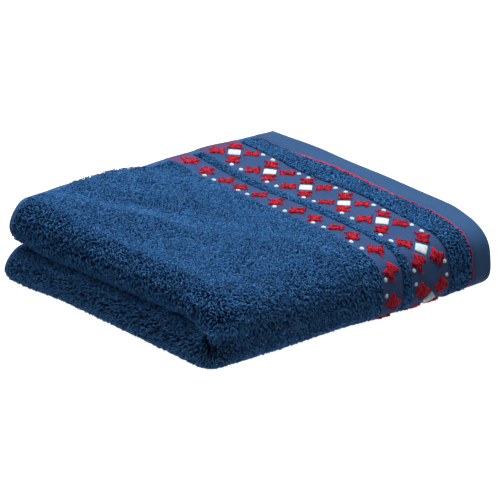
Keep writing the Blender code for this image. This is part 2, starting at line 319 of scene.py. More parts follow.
MOTIF_RISE = 1.0 * MM
MOTIF_SUNK = 0.15 * MM  # its rim is this far below the band's face
MOTIF_CELL = 0.62 * MM  # mesh step in a motif
MOTIF_FEWEST = 4  # and least number of them
MOTIF_UNDER = 0.1  # share of the rise that is left on the side that lies on the floor
RIB_PITCH = 1.25 * MM
RIB_BEAT = 2.4 * MM  # the ribs come and go over this way along
RIB_BEAT_DEPTH = 0.4
DOME_ALONG = 9  # how flat a motif's top is: 2 is round
DOME_ACROSS = 5
MOTIF_FADE = 15 * MM  # way over which it rises once it is off the floor

# The border is drawn out of true by these many millimetres, at places across the cloth.  Along the
# cloth it begins and ends between the first two pairs, and one table gives way to the other.
DRIFT_BEGINS = (22 * MM, 42 * MM)
DRIFT_ENDS = (150 * MM, 110 * MM)
WIDE_TO_NARROW = (72 * MM, 92 * MM)
# Across, and how far it is drawn along and across there.
WIDE_BAND_DRIFT = (
    (-250, -60, -21,  -8,   6,  21,  62, 104, 146, 187,  229,  250),
    (   0,   0, 1.5, 1.5, 2.8, 2.5, 3.5, 0.5, 2.5, 4.5, -1.5, -1.5),
    (   0,   0, 2.5,   4,   2, 2.7,   1, 3.3, 0.7,  -4,  0.3,    0),
)
NARROW_BAND_DRIFT = (
    (-250, -60,  11,  30,  53,  72,  95,  114,  136,  155,  178,  197,  218,  238, 250),
    (   0,   0,   1,  -1,  -1,   0,   2,    3,    5,    5,  3.5,  2.7,    3,    0,   0),
    (   0,   0, 2.2, 5.2, 5.5, 2.5, 0.8, -1.2, -2.8, -3.8, -4.2, -6.4, -7.8, -6.2,   0),
)

# ---- Colours and fine texture ----

#       where                dark                   light                  tint, or a loop's root as painted shade at its foot
COLOURS = {
    # The woven ground is the cloth's own navy, painted almost black as painted shade in the gaps between the
    # loops.
    "ground":            ((0.001, 0.010, 0.036), (0.004, 0.024, 0.075)),
    "pressed":           ((0.008, 0.030, 0.085), (0.034, 0.100, 0.240)),
    "hem":               ((0.022, 0.071, 0.175), (0.035, 0.099, 0.232)),
    "band":              ((0.015, 0.056, 0.155), (0.029, 0.090, 0.225), (0.068, 0.050, 0.150)),
    "side of the band":  ((0.018, 0.064, 0.175), (0.032, 0.100, 0.260), (0.240, 0.012, 0.050)),
    "selvedge":          ((0.020, 0.085, 0.215), (0.034, 0.120, 0.300)),
    # A loop's root colour is painted shade: near black at its foot, where the loops shade one another.
    "loops":             ((0.017, 0.094, 0.250), (0.066, 0.260, 0.600), (0.0006, 0.012, 0.045)),
    "red loops":         ((0.260, 0.004, 0.014), (0.600, 0.014, 0.040), (0.100, 0.001, 0.006)),
    "red yarn":          ((0.330, 0.006, 0.020), (0.500, 0.014, 0.038)),
    "white yarn":        ((0.420, 0.500, 0.530), (0.660, 0.740, 0.760)),
}
FLECKS_FROM = {"band": 0.52, "side of the band": 0.45}  # the more flecks, the lower it begins
FLECK_EDGE = 0.15

#    kind       roughness   sheen   bump's depth   its strength
FINISHES = {
    "yarn":    (0.90,       0.09,   0.15 * MM,     0.6),
    "terry":   (0.90,       0.0,    1.20 * MM,     1.0),
    "weave":   (0.85,       0.09,   0.25 * MM,     1.0),
    "thread":  (0.80,       0.09,   0.20 * MM,     0.7),
}
SHEEN_ROUGHNESS = 0.5
SPECULAR = 0.03

WEAVE_PITCH = 0.9 * MM
TERRY_CELLS = 520.0  # scales of the textures, for each metre
FLECKS = 700.0
FIBRES = 2600.0
THREADS = 900.0
THREAD_FIBRES = 1500.0
# The painted shade at a loop's foot fades out between these shares of its height.
PAINTED_FOOT_SHADE = (0.15, 0.95)  # a loop's root colour gives way to its own between these, foot to tip
# A terry cell's rim is also painted darker than its middle, as painted shade in the hollows.
CELL_RAISED = (0.75, 0.1)  # a terry cell rises from its rim to its middle
THREAD_LIGHT = (0.35, 0.65)  # values of the noise that are dark and light

# ---- Camera and light ----

CAMERA_AZIMUTH = -38.48  # degrees
CAMERA_ELEVATION = 23.85
CAMERA_DISTANCE = 3.58
CAMERA_LENS = 360.6  # millimetres, for a 36 mm sensor
CAMERA_RIGHT = 6.45 * MM  # the photo is framed a little off the pile's centre
CAMERA_UP = -6.8 * MM

FLOOR_HALF = 4.0
FLOOR_WHITE = 0.3
FLOOR_GLOW = 1.0
#        from                   strength   sharpness
LIGHTS = (
    ((0.40, 0.18, 0.90),        6.5,       5.6),    # from above, on the hems' side
    ((0.0, 0.0, -1.0),          2.50,      4.5),    # from the lit table
    ((-0.62, 0.28, 0.73),       0.80,      3.0),    # a little from above the noses
)


def ease(value, start, end):
    """0 at start and 1 at end, smooth in between; start may be the larger."""
    share = np.clip((np.asarray(value, float) - start) / (end - start), 0.0, 1.0)
    return share * share * (3.0 - 2.0 * share)


def sheet_thickness(from_hem):
    """Thickness of the cloth, loops included, at a distance from the nearer hem."""
    from_hem = np.asarray(from_hem, float)
    thickness = np.full(from_hem.shape, STRIPES[0][2])
    for (_, end, _), (_, _, following) in zip(STRIPES, STRIPES[1:]):
        share = ease(from_hem, end - STRIPE_STEP, end + STRIPE_STEP)
        thickness = thickness * (1.0 - share) + following * share
    return thickness


def layer_middles(x):
    """Heights of the middles of the stack's four layers above its inner face."""
    x = np.asarray(x, float)
    rise = sum(height * ease(x, gone, full) for _, height, full, gone in LOFTS)
    pitch = TERRY + LAYER_GAP
    first = np.full(x.shape, TERRY / 2)
    return first, first + pitch, first + 2 * pitch + 0.5 * rise, first + 3 * pitch + rise


def stack_height(x):
    """Height of the stack of four layers at a place along the pile."""
    return layer_middles(x)[3] + TERRY / 2


def leg(level, start, end, face, step):
    """Section rows of one straight layer: x, height, the outward direction, and the layer."""
    count = max(2, round(abs(end - start) / step))
    places = np.linspace(start, end, count + 1)
    return [(x, float(layer_middles(x)[level]), 0.0, face, level) for x in places]


def turn(centre, levels, steps, side, rising, face, reach=None):
    """Section rows of one round fold between two layers, without its two ends."""
    low, high = (float(layer_middles(centre)[level]) for level in levels)
    radius = (high - low) / 2
    reach = reach or radius
    rows = []
    for step in range(1, steps):
        angle = math.pi * (step / steps - 0.5) * (1 if rising else -1)
        normal = np.array((side * math.cos(angle) / reach, math.sin(angle) / radius))
        normal *= face / np.linalg.norm(normal)
        x = centre + side * reach * math.cos(angle)
        height = (low + high) / 2 + radius * math.sin(angle)
        rows.append((x, height, normal[0], normal[1], BETWEEN_LAYERS))
    return rows


def section():
    """The sheet's path from the upper hem to the lower one, with the way along it as first column."""
    rows = leg(3, PILE_LENGTH, OUTER_NOSE, 1, FINE_STEP)
    rows += turn(OUTER_NOSE, (0, 3), OUTER_TURN_STEPS, -1, False, 1, OUTER_NOSE - TERRY / 2)
    rows += leg(0, OUTER_NOSE, MIDDLE_FOLD, -1, COARSE_STEP)
    rows += turn(MIDDLE_FOLD, (0, 1), INNER_TURN_STEPS, 1, True, 1)
    rows += leg(1, MIDDLE_FOLD, INNER_NOSE, 1, COARSE_STEP)
    rows += turn(INNER_NOSE, (1, 2), INNER_TURN_STEPS, -1, True, -1)
    rows += leg(2, INNER_NOSE, LOWER_HEM_END, -1, COARSE_STEP)
    rows = np.array(rows)
    steps = np.hypot(np.diff(rows[:, 0]), np.diff(rows[:, 1]))
    return np.column_stack([np.concatenate([[0.0], np.cumsum(steps)]), rows])


SECTION = section()
CLOTH_LENGTH = SECTION[-1, 0]


def section_at(along):
    """x, height and outward direction of the sheet's middle at a way along it, and its layer."""
    columns = [np.interp(along, SECTION[:, 0], SECTION[:, k]) for k in range(1, 6)]
    x, height, normal_x, normal_height, level = columns
    size = np.hypot(normal_x, normal_height)
    return x, height, normal_x / size, normal_height / size, level


def selvedge_reach(x, radius):
    """Distance from the front fold's axis back to the selvedge, for a layer bent at a radius."""
    outermost = float(layer_middles(PILE_LENGTH / 2)[3]) + FOLD_GAP / 2
    straight = HALF_WIDTH - math.pi / 2 * outermost
    fanned = FAN * ease(x, FAN_FROM, FAN_TO) * math.pi / 2 * (outermost - radius)
    return straight + fanned - NOSE_DRAWN_IN * ease(x, NOSE_DRAWN_IN_TO, 0.0)


def bend(x, height, middle, turned, share, settled):
    """Carry points of the section round the front."""
    centre_height = stack_height(x) + FOLD_GAP / 2
    radius = FOLD_GAP / 2 + height + settled * ease(turned, SETTLES_FROM, 1.0)
    angle = math.pi * turned
    power = np.where(turned < 0.5, WRAP_POWER_TOP, WRAP_POWER_BOTTOM)
    forward = np.abs(np.sin(angle)) ** (2 / power)
    forward = np.where((turned <= 0.0) | (turned >= 1.0), 0.0, forward)
    upward = np.sign(np.cos(angle)) * np.abs(np.cos(angle)) ** (2 / power)
    y = share * selvedge_reach(x, FOLD_GAP / 2 + middle) - radius * forward
    return np.stack(np.broadcast_arrays(x, y, centre_height + radius * upward), axis=-1)


def swell_height(x, y):
    """Height of the waves and swells over a place in the pile's plan."""
    x, y = x / MM, y / MM
    total = sum(height * np.sin(2 * math.pi * (x / along_x + y / along_y) + phase)
                for height, along_x, along_y, phase in WAVES)
    for _, centre_x, centre_y, along, across, heading, height in SWELLS:
        cosine, sine = math.cos(math.radians(heading)), math.sin(math.radians(heading))
        forward = (x - centre_x) * cosine + (y - centre_y) * sine
        sideways = (y - centre_y) * cosine - (x - centre_x) * sine
        total = total + height * np.exp(-(forward / along) ** 2 - (sideways / across) ** 2)
    return total * MM


def beside_line(points, line):
    """Distance to a bent line, negative on the lower nose's side, and the share of the way along it."""
    nearest = np.full(points.shape[:-1], np.inf)
    signed = np.full(points.shape[:-1], np.inf)
    way = np.zeros(points.shape[:-1])
    passed = 0.0
    for start, end in zip(line, line[1:]):
        stretch = end - start
        share = np.clip((points - start) @ stretch / (stretch @ stretch), 0.0, 1.0)
        away = points - start - share[..., None] * stretch
        distance = np.linalg.norm(away, axis=-1)
        side = np.sign(away @ np.cross(OUT_OF_THE_CORNER, stretch))
        nearer = distance < nearest
        nearest = np.where(nearer, distance, nearest)
        signed = np.where(nearer, distance * side, signed)
        way = np.where(nearer, passed + share * np.linalg.norm(stretch), way)
        passed += np.linalg.norm(stretch)
    return signed, way / passed


def lip(points):
    """How far the front corner is drawn inward beside the lip's edge."""
    past, share = beside_line(points, np.array(LIP) * MM)
    wrapped = ease(past, 0.0, LIP_EDGE)
    drawn = LIP_IN * (1 - wrapped) * np.exp(-(past / LIP_REACH_IN) ** 2)
    drawn -= LIP_OUT * wrapped * np.exp(-(past / LIP_REACH_OUT) ** 2)
    drawn *= ease(share, 0.0, LIP_GROWS) * ease(share, 1.0, LIP_FADES)
    for _, x, y, z, depth, reach in DENTS:
        drawn += depth * np.exp(-np.sum((points - (x, y, z)) ** 2, axis=-1) / reach ** 2)
    return drawn


def within(value, start, end, reach):
    """1 between start and end, and fading to 0 over a reach beyond them; sizes in millimetres."""
    value = value / MM
    return ease(value, start - reach, start) * ease(value, end + reach, end)


def uneven(points):
    """The pile's unevenness, as soft shifts that keep the layers in their order."""
    x, y, z = points[..., 0], points[..., 1], points[..., 2]
    moved = points.copy()
    moved[..., 0] -= SKEW * y
    for _, drawn_in, full, gone in HEM_DRAWN_IN:
        moved[..., 0] -= drawn_in * ease(y, gone, full) * ease(x, HEM_END_FROM, PILE_LENGTH)
    moved[..., 0] += NOSE_LEAN * (z / SWELL_TOP - 0.5) * ease(x, LEAN_TO, 0.0)
    moved[..., 2] += swell_height(x, y) * np.clip(z / SWELL_TOP, 0.0, 1.0) ** SWELL_POWER
    for _, move, within_x, within_y, within_z in PUSHES:
        full = within(x, *within_x) * within(y, *within_y) * within(z, *within_z)
        moved += full[..., None] * np.array(move) * MM
    return moved + lip(points)[..., None] * np.array(INWARD)


def cloth(along, across, out):
    """The point at a way along and across the cloth, and out of the sheet's middle."""
    along, across, out = np.broadcast_arrays(along, across, out)
    from_hem = np.minimum(along, CLOTH_LENGTH - along)
    along, across = drawn_weave(along, across)
    x, height, normal_x, normal_height, level = section_at(along)
    quarter = math.pi / 2 * (FOLD_GAP / 2 + height)
    beyond = np.abs(across) - quarter
    share = np.clip(beyond / (HALF_WIDTH - quarter), 0.0, 1.0)
    turned = np.clip(0.5 - 0.5 * across / quarter, 0.0, 1.0)
    settled = np.where(level == 3, (TERRY - sheet_thickness(from_hem)) / 2, 0.0)
    bent = bend(x + out * normal_x, height + out * normal_height, height, turned, share, settled)
    return uneven(bent) + PLACE


def drift_of(table, across):
    """How far a table draws the weave along and across, at a way across the cloth."""
    places, drawn_along, drawn_across = np.array(table) * MM
    return np.interp(across, places, drawn_along), np.interp(across, places, drawn_across)


def drawn_weave(along, across):
    """Where a place of the cloth lies once its border is drawn out of true."""
    wide_along, wide_across = drift_of(WIDE_BAND_DRIFT, across)
    narrow_along, narrow_across = drift_of(NARROW_BAND_DRIFT, across)
    narrow = ease(along, *WIDE_TO_NARROW)
    fade = ease(along, *DRIFT_BEGINS) * ease(along, *DRIFT_ENDS)
    drawn_along = wide_along + (narrow_along - wide_along) * narrow
    drawn_across = wide_across + (narrow_across - wide_across) * narrow
    return along + fade * drawn_along, across + fade * drawn_across


def full_size_box():
    """Lowest and highest corner of the sheet at the solid's own thickness."""
    along, across = np.meshgrid(SECTION[:, 0], np.linspace(-HALF_WIDTH, HALF_WIDTH, BOX_COLUMNS))
    half = sheet_thickness(np.minimum(along, CLOTH_LENGTH - along)) / 2
    points = np.concatenate([cloth(along, across, side * half).reshape(-1, 3) for side in (1, -1)])
    return points.min(axis=0), points.max(axis=0)


PLACE = np.zeros(3)


def stand_in_place():
    """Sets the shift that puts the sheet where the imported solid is."""
    own_low, own_high = full_size_box()
    low, high = (np.array(corner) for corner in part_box("towel"))
    PLACE[:] = (low + high - own_low - own_high) / 2
    PLACE[2] = low[2] - own_low[2]


def directions(along, across):
    """Unit vectors of the cloth at a place: along it, across it, and out of its outward face."""
    little = 0.2 * MM
    here = cloth(along, across, 0.0)
    ahead = cloth(along + little, across, 0.0) - here
    aside = cloth(along, across + little, 0.0) - here
    outward = cloth(along, across, little) - here
    return [vector / np.linalg.norm(vector, axis=-1, keepdims=True) for vector in (ahead, aside, outward)]


# ---- Meshes ----

def new_piece(name, points, quads, materials, uv=None):
    """An object from arrays: points, and quads of point numbers."""
    mesh = bpy.data.meshes.new(name)
    mesh.vertices.add(len(points))
    mesh.vertices.foreach_set("co", np.asarray(points, np.float32).ravel())
    mesh.loops.add(quads.size)
    mesh.loops.foreach_set("vertex_index", quads.astype(np.int32).ravel())
    mesh.polygons.add(len(quads))
    mesh.polygons.foreach_set("loop_start", np.arange(0, quads.size, 4, dtype=np.int32))
    mesh.update(calc_edges=True)
    mesh.shade_smooth()
    for material in materials:
        mesh.materials.append(material)
    for layer_name, values in (uv or {}).items():
        layer = mesh.uv_layers.new(name=layer_name)
        layer.data.foreach_set("uv", np.asarray(values, np.float32)[quads.ravel()].ravel())
    piece = bpy.data.objects.new(name, mesh)
    bpy.context.scene.collection.objects.link(piece)
    return piece


def grid_quads(count_i, count_j):
    """Quads of a grid of points."""
    i, j = np.meshgrid(np.arange(count_i - 1), np.arange(count_j - 1), indexing="ij")
    here = (i * count_j + j).ravel()
    return np.stack([here, here + count_j, here + count_j + 1, here + 1], axis=1)


def with_edges(places):
    """The places, with closer ones beside the first and the last, where the sheet rounds off."""
    start, end = places[0], places[-1]
    near = np.array(EDGE_STEPS) * EDGE_ROUND
    inner = places[(places > start + EDGE_CLEAR) & (places < end - EDGE_CLEAR)]
    return np.concatenate([start + near, inner, (end - near)[::-1]])


def tape_width(along):
    """Width of the woven strip that shows beside the selvedge."""
    places, widths = np.array(TAPE_WIDTHS) * MM
    return np.interp(along, places, widths)


def half_thickness(along, across, side):
    """Half the fine sheet's thickness: the woven ground under loops, and the full cloth elsewhere."""
    from_hem = np.minimum(along, CLOTH_LENGTH - along)
    woven = sheet_thickness(from_hem) / 2
    terry = np.full(woven.shape, PRESSED)
    if side > 0:
        looped = ease(across, LOOPS_DOWN_TO - GROUND_FADE, LOOPS_DOWN_TO)
        looped = np.maximum(looped, ease(along, NOSE_FROM - SOFT_STEP, NOSE_FROM + SOFT_STEP))
        looped = looped * ease(along, LOOPS_END + GROUND_FADE + SOFT_STEP, LOOPS_END - SOFT_STEP)
        terry = terry + (GROUND - terry) * looped
    is_terry = ease(woven, HEM / 2, (HEM + NARROW_TERRY) / 4)
    half = woven + (terry - woven) * is_terry
    to_edge = HALF_WIDTH - np.abs(across)
    tape = ease(to_edge, tape_width(along) + SOFT_STEP, tape_width(along) - SOFT_STEP / 2)
    half = half + (np.minimum(half, SELVEDGE / 2) - half) * tape
    nearest = np.minimum(to_edge, from_hem)
    inside = np.clip(nearest / EDGE_ROUND, 0.0, 1.0)
    return half * np.maximum(np.sqrt(1 - (1 - inside) ** 2), EDGE_LEAST)


def sheet_piece(materials):
    """The folded sheet: a closed thin mesh."""
    columns = np.linspace(-HALF_WIDTH, HALF_WIDTH, round(TOWEL_WIDTH / ACROSS_STEP) + 1)
    along, across = np.meshgrid(with_edges(SECTION[:, 0]), with_edges(columns), indexing="ij")
    sides = [cloth(along, across, side * half_thickness(along, across, side)) for side in (1, -1)]
    points = np.concatenate([side.reshape(-1, 3) for side in sides])
    outer = grid_quads(*along.shape)[:, ::-1]
    inner = along.size + outer[:, ::-1]
    number = np.arange(along.size).reshape(along.shape)
    ring = np.concatenate([number[:, 0], number[-1, 1:], number[-2::-1, -1], number[0, -2:0:-1]])
    following = np.roll(ring, -1)
    edge = np.stack([ring, following, along.size + following, along.size + ring], axis=1)
    quads = np.concatenate([outer, inner, edge])
    along, across = along.ravel(), across.ravel()
    share = np.stack([along / CLOTH_LENGTH, across / TOWEL_WIDTH + 0.5], axis=1)
    baked = np.concatenate([share * SHEET_TILE + place for place in SHEET_TILE_PLACES])
    woven = np.tile(np.stack([across, along], axis=1), (2, 1))
    piece = new_piece("sheet", points, quads, materials, {"OFBake": baked, "Cloth": woven})
    middle_across, middle_along = woven[quads].mean(axis=1).T
    outward = np.concatenate([np.ones(len(outer)), np.zeros(len(inner) + len(edge))])
    kinds = cloth_kinds(middle_along, middle_across, outward)
    piece.data.polygons.foreach_set("material_index", kinds.astype(np.int32))
    return piece


KINDS = ("ground", "pressed", "hem", "band", "side of the band", "selvedge")


def cloth_kinds(along, across, outward):
    """Which weave shows at a place of the sheet, as a place in KINDS."""
    from_hem = np.minimum(along, CLOTH_LENGTH - along)
    looped = (outward > 0) & (along < LOOPS_END)
    looped &= (across > LOOPS_DOWN_TO) | (along > NOSE_FROM)
    kinds = np.where(looped, KINDS.index("ground"), KINDS.index("pressed"))
    ends = {name: end for name, end, _ in STRIPES}
    in_wide = (from_hem > ends["terry by the hem"]) & (from_hem < ends["wide flat band"])
    in_narrow = (from_hem > ends["terry between"]) & (from_hem < ends["narrow flat band"])
    tape = HALF_WIDTH - np.abs(across) < tape_width(along)
    kinds = np.where(tape, KINDS.index("selvedge"), kinds)
    kinds = np.where(in_wide | in_narrow, KINDS.index("band"), kinds)
    at_side = (in_wide | in_narrow) & (HALF_WIDTH - np.abs(across) < SIDE_OF_BAND)
    kinds = np.where(at_side, KINDS.index("side of the band"), kinds)
    return np.where(from_hem < ends["turned hem"] + HEM_SHOWS, KINDS.index("hem"), kinds)


# ---- Loops ----

def scatter(random, from_along, to_along, from_across, to_across, spacing):
    """Uneven places, about a spacing apart, over a stretch of the cloth."""
    rows = max(1, round((to_along - from_along) / (ROW_SPACING * spacing)))
    columns = max(1, round((to_across - from_across) / spacing))
    i, j = np.meshgrid(np.arange(rows) + 0.5, np.arange(columns) + 0.25, indexing="ij")
    j = j + 0.5 * (i.astype(int) % 2)
    i = i + random.uniform(-SCATTER, SCATTER, i.shape)
    j = j + random.uniform(-SCATTER, SCATTER, j.shape)
    along = from_along + i / rows * (to_along - from_along)
    across = from_across + j / columns * (to_across - from_across)
    return along.ravel(), across.ravel()


def drift(random, along, across, reach):
    """A smooth uneven value from about -1 to 1 over the cloth, which changes over a reach."""
    total = np.zeros(along.shape)
    for _ in range(DRIFT_WAVES):
        heading, phase = random.uniform(0, 2 * math.pi, 2)
        length = reach * random.uniform(*DRIFT_LENGTHS)
        way = along * math.cos(heading) + across * math.sin(heading)
        total += np.sin(2 * math.pi / length * way + phase)
    return total / (DRIFT_WAVES / 2)


def loop_tubes(random, along, across, rise):
    """Loops of yarn as tubes: the points of each one's rings."""
    ahead, aside, outward = directions(along, across)
    count = len(along)
    foot = cloth(along, across, 0.0)
    downhill = outward * outward[:, 2:] - (0.0, 0.0, 1.0)
    slope = np.linalg.norm(downhill, axis=-1, keepdims=True)
    swirl = [drift(random, along, across, SWIRL_REACH)[:, None] for _ in range(2)]
    flow = NAP * -aside + GRAVITY * downhill + SWIRL * (swirl[0] * aside + swirl[1] * ahead)
    flow /= np.linalg.norm(flow, axis=-1, keepdims=True)
    sideways = np.cross(outward, flow)
    heading = random.normal(0, 1, count)[:, None] * (HEADING_FLAT + HEADING_STEEP * slope)
    plane = np.cos(heading) * flow + np.sin(heading) * sideways
    beside = np.cross(outward, plane)
    overhung = ease(outward[:, 2:], *OVERHUNG)
    lean = flow * (LEAN_FLAT + LEAN_STEEP * slope) * random.uniform(*LEAN_SHARES, count)[:, None]
    lean = lean * (1 - LEAN_OVERHUNG * overhung)
    lean = lean + sideways * random.normal(0, 1, count)[:, None] * STRAY
    tall = rise + HEIGHT_DRIFT * drift(random, along, across, HEIGHT_DRIFT_REACH)[:, None]
    uneven_heights = random.uniform(*HEIGHTS, count)[:, None] * MM
    tall = tall + uneven_heights * (HEIGHTS_FLAT + HEIGHTS_STEEP * slope)
    span = LOOP_SPAN * random.uniform(*SPANS, count)[:, None]
    twist = random.uniform(-TWIST, TWIST, count)[:, None] * MM
    rings = [foot + plane * (span * a) + outward * (tall * height) + lean * leaning + beside * (twist * out)
             for a, height, leaning, out, _, _ in LOOP]
    path = np.stack(rings, axis=1)
    tangent = np.gradient(path, axis=1)
    tangent /= np.linalg.norm(tangent, axis=-1, keepdims=True)
    binormal = np.broadcast_to(beside[:, None, :], tangent.shape)
    normal = np.cross(tangent, binormal)
    normal /= np.linalg.norm(normal, axis=-1, keepdims=True)
    thick = YARN * random.uniform(*THICKNESSES, count)[:, None, None]
    angles = [2 * math.pi * k / LOOP_SIDES for k in range(LOOP_SIDES)]
    corners = [path + thick * (math.cos(angle) * normal + math.sin(angle) * binormal) for angle in angles]
    return np.stack(corners, axis=2)


def loop_quads(count):
    """Quads of that many loops."""
    ring, side = np.meshgrid(np.arange(len(LOOP) - 1), np.arange(LOOP_SIDES), indexing="ij")
    here = (ring * LOOP_SIDES + side).ravel()
    beside = (ring * LOOP_SIDES + (side + 1) % LOOP_SIDES).ravel()
    quads = np.stack([here, beside, beside + LOOP_SIDES, here + LOOP_SIDES], axis=1)
    return (np.arange(count)[:, None, None] * len(LOOP) * LOOP_SIDES + quads[None]).reshape(-1, 4)


def loops_piece(name, random, along, across, rise, material):
    """One piece of many loops."""
    points = loop_tubes(random, along, across, rise)
    count = len(along)
    tiles = math.ceil(math.sqrt(count))
    number = np.arange(count)[:, None, None]
    tips, ring_places = (np.array(column)[None, :, None] for column in list(zip(*LOOP))[4:])
    u = (number % tiles + ring_places) / tiles
    v = (number // tiles + np.array(LOOP_SIDE_PLACES)) / tiles
    baked = np.stack(np.broadcast_arrays(u, v), axis=-1).reshape(-1, 2)
    piece = new_piece(name, points.reshape(-1, 3), loop_quads(count), [material], {"OFBake": baked})
    shade = random.uniform(0, 1, count)[:, None, None]
    for attribute_name, values in (("tip", tips), ("shade", shade)):
        attribute = piece.data.attributes.new(attribute_name, "FLOAT", "POINT")
        values = np.broadcast_to(values, points.shape[:3])
        attribute.data.foreach_set("value", values.astype(np.float32).ravel())
    return piece


# The looped stretches of the outward face.
#    name               from along   to along    from across    to across
LOOPED = (
    ("loops_body_a",    107.5 * MM,  173 * MM,   LOOPS_DOWN_TO, HALF_WIDTH),
    ("loops_body_b",    173 * MM,    239 * MM,   LOOPS_DOWN_TO, HALF_WIDTH),
    ("loops_nose_a",    239 * MM,    287 * MM,   0.0,           HALF_WIDTH),
    ("loops_nose_b",    239 * MM,    287 * MM,   -HALF_WIDTH,   0.0),
    ("loops_by_hem",    20.5 * MM,   39.5 * MM,  LOOPS_DOWN_TO, HALF_WIDTH),
    ("loops_between",   78.5 * MM,   86.5 * MM,  LOOPS_DOWN_TO, HALF_WIDTH),
)


def looped_pieces(material):
    """All the loops that show."""
    random = np.random.default_rng(7)
    pieces = []
    for name, *stretch in LOOPED:
        along, across = scatter(random, *stretch, LOOP_SPACING)
        to_edge = HALF_WIDTH - np.abs(across)
        kept = (to_edge > tape_width(along)) & (along < CREASE_BARE)
        along, across = along[kept], across[kept]
        shorter = 1 - CREASE_SHORTER * ease(along, CREASE_FROM, CREASE_TO)
        rise = (sheet_thickness(along) / 2 * shorter)[:, None]
        pieces.append(loops_piece(name, random, along, across, rise, material))
    return pieces


# ---- Motifs of the border ----

def bow_width(share):
    """Half the width of a bow-tie at a share of the way from its waist to an end."""
    return BOW_WAIST + (BOW_END - BOW_WAIST) * share ** BOW_POWER


def diamond_width(share):
    """Half the width of a diamond, the same all along its side."""
    return DIAMOND_HALF / math.sqrt(2)


def dot_width(share):
    """Half the width of a dot at a share of the way from its middle to its end."""
    return DOT_RADIUS * np.maximum(np.sqrt(1 - share ** 2), DOT_BLUNT)


#     name        half its length               half its width   share of rise   depth of ribs
MOTIFS = {
    "bow":       (BOW_LENGTH / 2,               bow_width,       1.0,            0.22),
    "diamond":   (DIAMOND_HALF / math.sqrt(2),  diamond_width,   0.7,            0.50),
    "dot":       (DOT_RADIUS,                   dot_width,       0.8,            0.10),
}


def border_places():
    """Centres of the repeats, across the cloth."""
    return [(number + 0.5) * REPEAT - HALF_WIDTH for number in range(REPEATS)]


def bow_places():
    """The bow-ties: each one's centre along and across, and its heading."""
    places = []
    for centre in border_places():
        for sign_across in (-1, 1):
            for sign_along in (-1, 1):
                places.append((DIAMOND_AT + sign_along * BOW_OFFSET, centre + sign_across * BOW_OFFSET,
                               math.atan2(sign_along, sign_across)))
            places.append((CHEVRON_AT, centre + sign_across * CHEVRON_OFFSET, math.atan2(1, sign_across)))
    return places


def dot_places():
    """The dots' centres, along and across.  None is where the side of the bands is flecked."""
    alongs = (DIAMOND_AT - DOT_OFFSET, DIAMOND_AT + DOT_OFFSET, CHEVRON_DOT_AT)
    acrosses = [centre + sign * DOT_OFFSET for centre in border_places() for sign in (-1, 1)]
    return [(along, across) for across in acrosses if across < HALF_WIDTH - SIDE_OF_BAND for along in alongs]


def rotated(forward, sideways, heading):
    """A step in a motif's own directions, as a step along the cloth and one across it."""
    cosine, sine = math.cos(heading), math.sin(heading)
    return forward * sine + sideways * cosine, forward * cosine - sideways * sine


def raised_patch(name, centre_along, centre_across, heading=0.0):
    """A padded motif: its points and quads."""
    half_length, half_width, rise_share, rib = MOTIFS[name]
    widest = np.max(half_width(np.array([0.0, 1.0])))
    count_a, count_b = (max(MOTIF_FEWEST, round(2 * half / MOTIF_CELL)) for half in (half_length, widest))
    a, b = np.meshgrid(np.linspace(-1, 1, count_a + 1), np.linspace(-1, 1, count_b + 1), indexing="ij")
    step_along, step_across = rotated(a * half_length, b * half_width(np.abs(a)), heading)
    along, across = centre_along + step_along, centre_across + step_across
    dome = (1 - np.abs(b) ** DOME_ACROSS) ** 0.5 * (1 - np.abs(a) ** DOME_ALONG) ** 0.5
    left = MOTIF_UNDER + (1 - MOTIF_UNDER) * ease(across, LOOPS_DOWN_TO, LOOPS_DOWN_TO + MOTIF_FADE)
    beat = 1 - RIB_BEAT_DEPTH * (1 - np.cos(2 * math.pi * along / RIB_BEAT))
    ribs = 1 + rib * beat * np.cos(2 * math.pi * across / RIB_PITCH)
    out = FLAT_BAND / 2 - MOTIF_SUNK + MOTIF_RISE * rise_share * left * dome * ribs
    points = cloth(along, np.clip(across, -HALF_WIDTH, HALF_WIDTH), out).reshape(-1, 3)
    return points, grid_quads(*a.shape)[:, ::-1]


def motif_piece(name, patches, material):
    """Joins patches into one piece."""
    firsts = np.cumsum([0] + [len(points) for points, _ in patches])
    points = np.concatenate([points for points, _ in patches])
    quads = np.concatenate([quads + first for (_, quads), first in zip(patches, firsts)])
    return new_piece(name, points, quads, [material])


def border_pieces(red, white):
    """Bow-ties, diamonds and dots."""
    bows = [raised_patch("bow", *place) for place in bow_places()]
    diamonds = [raised_patch("diamond", DIAMOND_AT, centre, math.pi / 4) for centre in border_places()]
    dots = [raised_patch("dot", *place) for place in dot_places()]
    return [motif_piece("bow_ties", bows, red), motif_piece("diamonds", diamonds, white),
            motif_piece("dots", dots, white)]


def bow_loops_piece(material):
    """Short loops of red yarn, which make the bow-ties fuzzy."""
    random = np.random.default_rng(11)
    places = []
    for centre_along, centre_across, heading in bow_places():
        if centre_across < LOOPS_DOWN_TO:
            continue
        forward, sideways = scatter(random, -1.0, 1.0, -1.0, 1.0, BOW_LOOP_SPACING / (BOW_LENGTH / 2))
        steps = rotated(forward * BOW_LENGTH / 2, sideways * bow_width(np.abs(forward)), heading)
        places.append((centre_along + steps[0], centre_across + steps[1]))
    along, across = np.concatenate(places, axis=1)
    across = np.minimum(across, HALF_WIDTH - EDGE_MARGIN)
    return loops_piece("bow_loops", random, along, across, FLAT_BAND / 2 + MOTIF_RISE, material)


